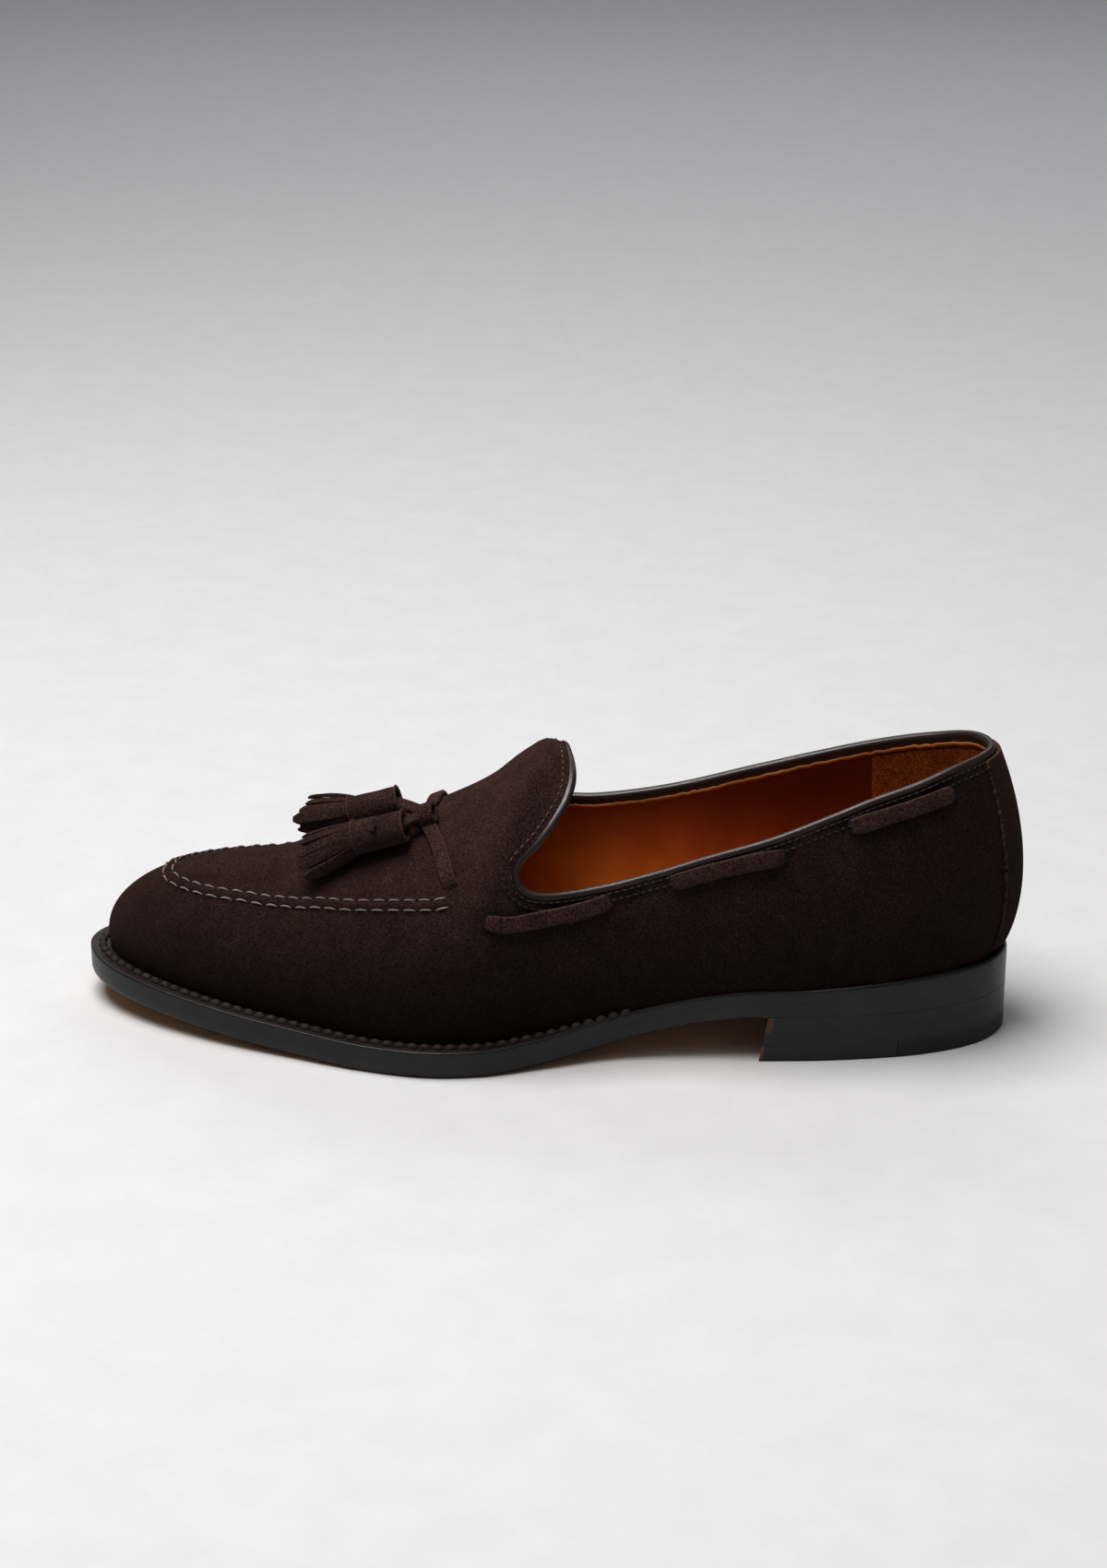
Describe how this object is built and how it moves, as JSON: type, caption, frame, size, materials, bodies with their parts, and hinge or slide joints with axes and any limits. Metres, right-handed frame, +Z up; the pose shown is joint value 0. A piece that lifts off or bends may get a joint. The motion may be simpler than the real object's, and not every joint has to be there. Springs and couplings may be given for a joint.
{
  "type": "tassel loafer",
  "caption": "Left slip-on suede loafer with an apron seam, a laced knot with tassels, a welted leather sole and a low stacked heel.",
  "frame": {"origin": "middle of the shoe's bounding box, on the floor under the sole", "axes": "+Z up from the floor, -X towards the toe and +X towards the heel, -Y towards the outer side of this left shoe"},
  "size_m": [0.3008, 0.1042, 0.0962],
  "materials": {
    "suede": "matt napped suede",
    "lace_suede": "matt napped suede",
    "tassel_suede": "matt napped suede",
    "sole_leather": "edge-waxed, semi-gloss",
    "welt_leather": "waxed",
    "rand_leather": "edge-waxed, semi-gloss",
    "lining_leather": "smooth, worn-in sheen",
    "heel_leather": "edge-waxed, semi-gloss",
    "rubber": "matt",
    "binding_leather": "smooth, soft gloss"
  },
  "bodies": {
    "root": {"outsole": "sole_leather", "welt": "welt_leather", "heel_rand": "rand_leather", "insole": "lining_leather", "heel_lifts": "heel_leather", "top_lift": "heel_leather", "top_lift_rubber": "rubber", "upper": "suede", "topline_binding": "binding_leather", "back_strip": "suede", "apron_seam": "suede", "lace_lateral_1": "lace_suede", "lace_lateral_2": "lace_suede", "lace_lateral_3": "lace_suede", "strand_lateral": "lace_suede", "stem_lateral": "lace_suede", "tassel_cap_lateral": "tassel_suede", "tassel_fringe_lateral": "tassel_suede", "lace_medial_1": "lace_suede", "lace_medial_2": "lace_suede", "lace_medial_3": "lace_suede", "strand_medial": "lace_suede", "stem_medial": "lace_suede", "tassel_cap_medial": "tassel_suede", "tassel_fringe_medial": "tassel_suede", "knot": "lace_suede"}
  },
  "joints": []
}
